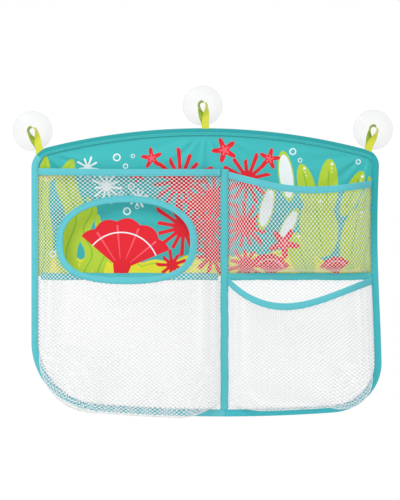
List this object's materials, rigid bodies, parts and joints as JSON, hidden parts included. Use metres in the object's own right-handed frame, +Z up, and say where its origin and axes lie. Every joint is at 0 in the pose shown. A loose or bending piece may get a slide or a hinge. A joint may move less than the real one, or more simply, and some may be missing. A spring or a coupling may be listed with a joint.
{
  "type": "bath toy organizer",
  "caption": "Wall-hung fabric bath toy organizer with net pockets, an oval window and suction-cup hanging loops.",
  "frame": {"origin": "centre of the middle suction cup, on the wall", "axes": "+X to the right seen from the front, +Y into the wall, +Z up"},
  "size_m": [0.525, 0.0611, 0.4559],
  "materials": {
    "printed_polyester": "woven, printed",
    "white_net": "knitted net",
    "turquoise_tape": "woven tape",
    "deep_tape": "woven tape",
    "dark_tape": "woven tape",
    "lime_ribbon": "woven ribbon",
    "clear_plastic": "clear, glossy"
  },
  "bodies": {
    "organizer": {"back_panel_print": "printed_polyester", "back_panel_mesh": "white_net", "top_binding": "dark_tape", "left_binding": "turquoise_tape", "right_binding": "turquoise_tape", "back_seam_tape": "deep_tape", "centre_tape": "deep_tape", "horizontal_tape": "deep_tape", "left_pocket_mesh": "white_net", "left_pocket_band": "turquoise_tape", "window_binding": "turquoise_tape", "upper_right_pocket_mesh": "white_net", "upper_right_pocket_band": "turquoise_tape", "lower_right_pocket_mesh": "white_net", "lower_right_pocket_band": "turquoise_tape"},
    "left_hanger": {"left_loop": "lime_ribbon"},
    "centre_hanger": {"centre_loop": "lime_ribbon"},
    "right_hanger": {"right_loop": "lime_ribbon"},
    "left_suction_cup": {"left_cup": "clear_plastic"},
    "centre_suction_cup": {"centre_cup": "clear_plastic"},
    "right_suction_cup": {"right_cup": "clear_plastic"}
  },
  "joints": [
    {"name": "left_loop_fold", "type": "hinge", "parent": "organizer", "child": "left_hanger", "pos_m": [-0.22431, -0.015, -0.0611], "axis": [0.9285, 0, 0.3714], "range_deg": [-80, 90]},
    {"name": "centre_loop_fold", "type": "hinge", "parent": "organizer", "child": "centre_hanger", "pos_m": [0.00395, -0.015, -0.03003], "axis": [0.9914, 0, 0.1305], "range_deg": [-80, 90]},
    {"name": "right_loop_fold", "type": "hinge", "parent": "organizer", "child": "right_hanger", "pos_m": [0.22785, -0.015, -0.06065], "axis": [0.9636, 0, -0.2672], "range_deg": [-80, 90]},
    {"name": "left_cup_turn", "type": "hinge", "parent": "left_hanger", "child": "left_suction_cup", "pos_m": [-0.23472, 0, -0.03509], "axis": [0, 1, 0], "continuous": true},
    {"name": "centre_cup_turn", "type": "hinge", "parent": "centre_hanger", "child": "centre_suction_cup", "pos_m": [0, 0, 0], "axis": [0, 1, 0], "continuous": true},
    {"name": "right_cup_turn", "type": "hinge", "parent": "right_hanger", "child": "right_suction_cup", "pos_m": [0.23541, 0, -0.03338], "axis": [0, 1, 0], "continuous": true}
  ]
}
